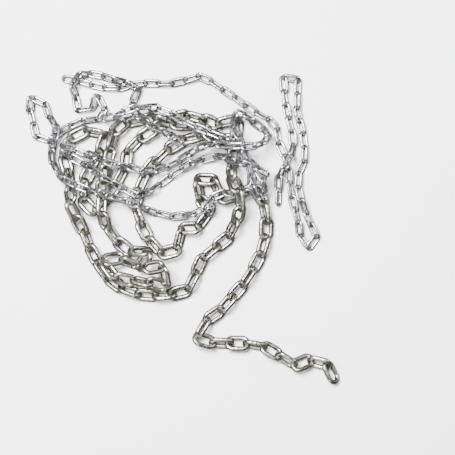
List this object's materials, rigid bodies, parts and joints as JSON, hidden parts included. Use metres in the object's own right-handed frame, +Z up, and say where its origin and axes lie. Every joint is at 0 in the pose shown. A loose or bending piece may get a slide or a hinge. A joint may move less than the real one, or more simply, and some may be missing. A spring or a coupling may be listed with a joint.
{
  "type": "anchor chain heap",
  "caption": "Loose heap of anchor chain: long thick chain snaking and folding back over the floor, with thinner chain tangled through it and lying across it.",
  "frame": {"origin": "On the floor, under the middle of the heap's outline seen from above.", "axes": "+Z up from the floor, +X to the right and +Y to the top of the heap as seen from straight above."},
  "size_m": [0.5938, 0.5964, 0.0848],
  "materials": {
    "thick_chain_steel": "bright, lightly polished by wear",
    "thin_chain_steel": "bright, lightly polished by wear"
  },
  "bodies": {
    "root": {"end_link": "thick_chain_steel", "thick_row_01": "thick_chain_steel", "thick_row_02": "thick_chain_steel", "thick_row_03": "thick_chain_steel", "thick_row_04": "thick_chain_steel", "thick_row_05": "thick_chain_steel", "thick_row_06": "thick_chain_steel", "thick_row_07": "thick_chain_steel", "thick_row_08": "thick_chain_steel", "thick_row_09": "thick_chain_steel", "thick_row_10": "thick_chain_steel", "thick_row_11": "thick_chain_steel", "thick_row_12": "thick_chain_steel", "thick_row_13": "thick_chain_steel", "thick_row_14": "thick_chain_steel", "thick_row_15": "thick_chain_steel", "thick_row_16": "thick_chain_steel", "thick_row_17": "thick_chain_steel", "thick_row_18": "thick_chain_steel", "thick_row_19": "thick_chain_steel", "thick_row_20": "thick_chain_steel", "thin_east_row_01": "thin_chain_steel", "thin_east_row_02": "thin_chain_steel", "thin_east_row_03": "thin_chain_steel", "thin_east_row_04": "thin_chain_steel", "thin_east_row_05": "thin_chain_steel", "thin_east_row_06": "thin_chain_steel", "thin_east_row_07": "thin_chain_steel", "thin_middle_row_01": "thin_chain_steel", "thin_middle_row_02": "thin_chain_steel", "thin_middle_row_03": "thin_chain_steel", "thin_middle_row_04": "thin_chain_steel", "thin_middle_row_05": "thin_chain_steel", "thin_middle_row_06": "thin_chain_steel", "thin_middle_row_07": "thin_chain_steel", "thin_middle_row_08": "thin_chain_steel", "thin_middle_row_09": "thin_chain_steel", "thin_middle_row_10": "thin_chain_steel", "thin_west_row_01": "thin_chain_steel", "thin_west_row_02": "thin_chain_steel", "thin_west_row_03": "thin_chain_steel", "thin_west_row_04": "thin_chain_steel", "thin_west_row_05": "thin_chain_steel", "thin_west_row_06": "thin_chain_steel", "thin_west_row_07": "thin_chain_steel", "thin_west_row_08": "thin_chain_steel", "thin_west_row_09": "thin_chain_steel"}
  },
  "joints": []
}
